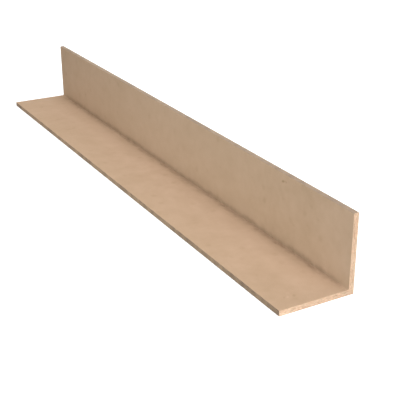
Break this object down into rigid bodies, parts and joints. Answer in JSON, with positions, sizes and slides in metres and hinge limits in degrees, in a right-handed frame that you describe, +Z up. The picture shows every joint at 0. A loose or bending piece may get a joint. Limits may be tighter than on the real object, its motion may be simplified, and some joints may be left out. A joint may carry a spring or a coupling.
{
  "type": "angle profile",
  "caption": "Straight equal-leg L-section angle of raw wood-based board, one leg flat and one upright, for edging, boxing in or trimming a corner.",
  "frame": {"origin": "centre of the bounding box's bottom face: on the flat leg's underside, midway along the length and midway between the flat leg's free edge and the upright leg's outer face", "axes": "+X along the length, +Y from the flat leg's free edge towards the upright leg's outer face, +Z up along the upright leg"},
  "size_m": [1.22, 0.14, 0.14],
  "materials": {
    "raw_board": "matte"
  },
  "bodies": {
    "root": {"angle_profile": "raw_board"}
  },
  "joints": []
}
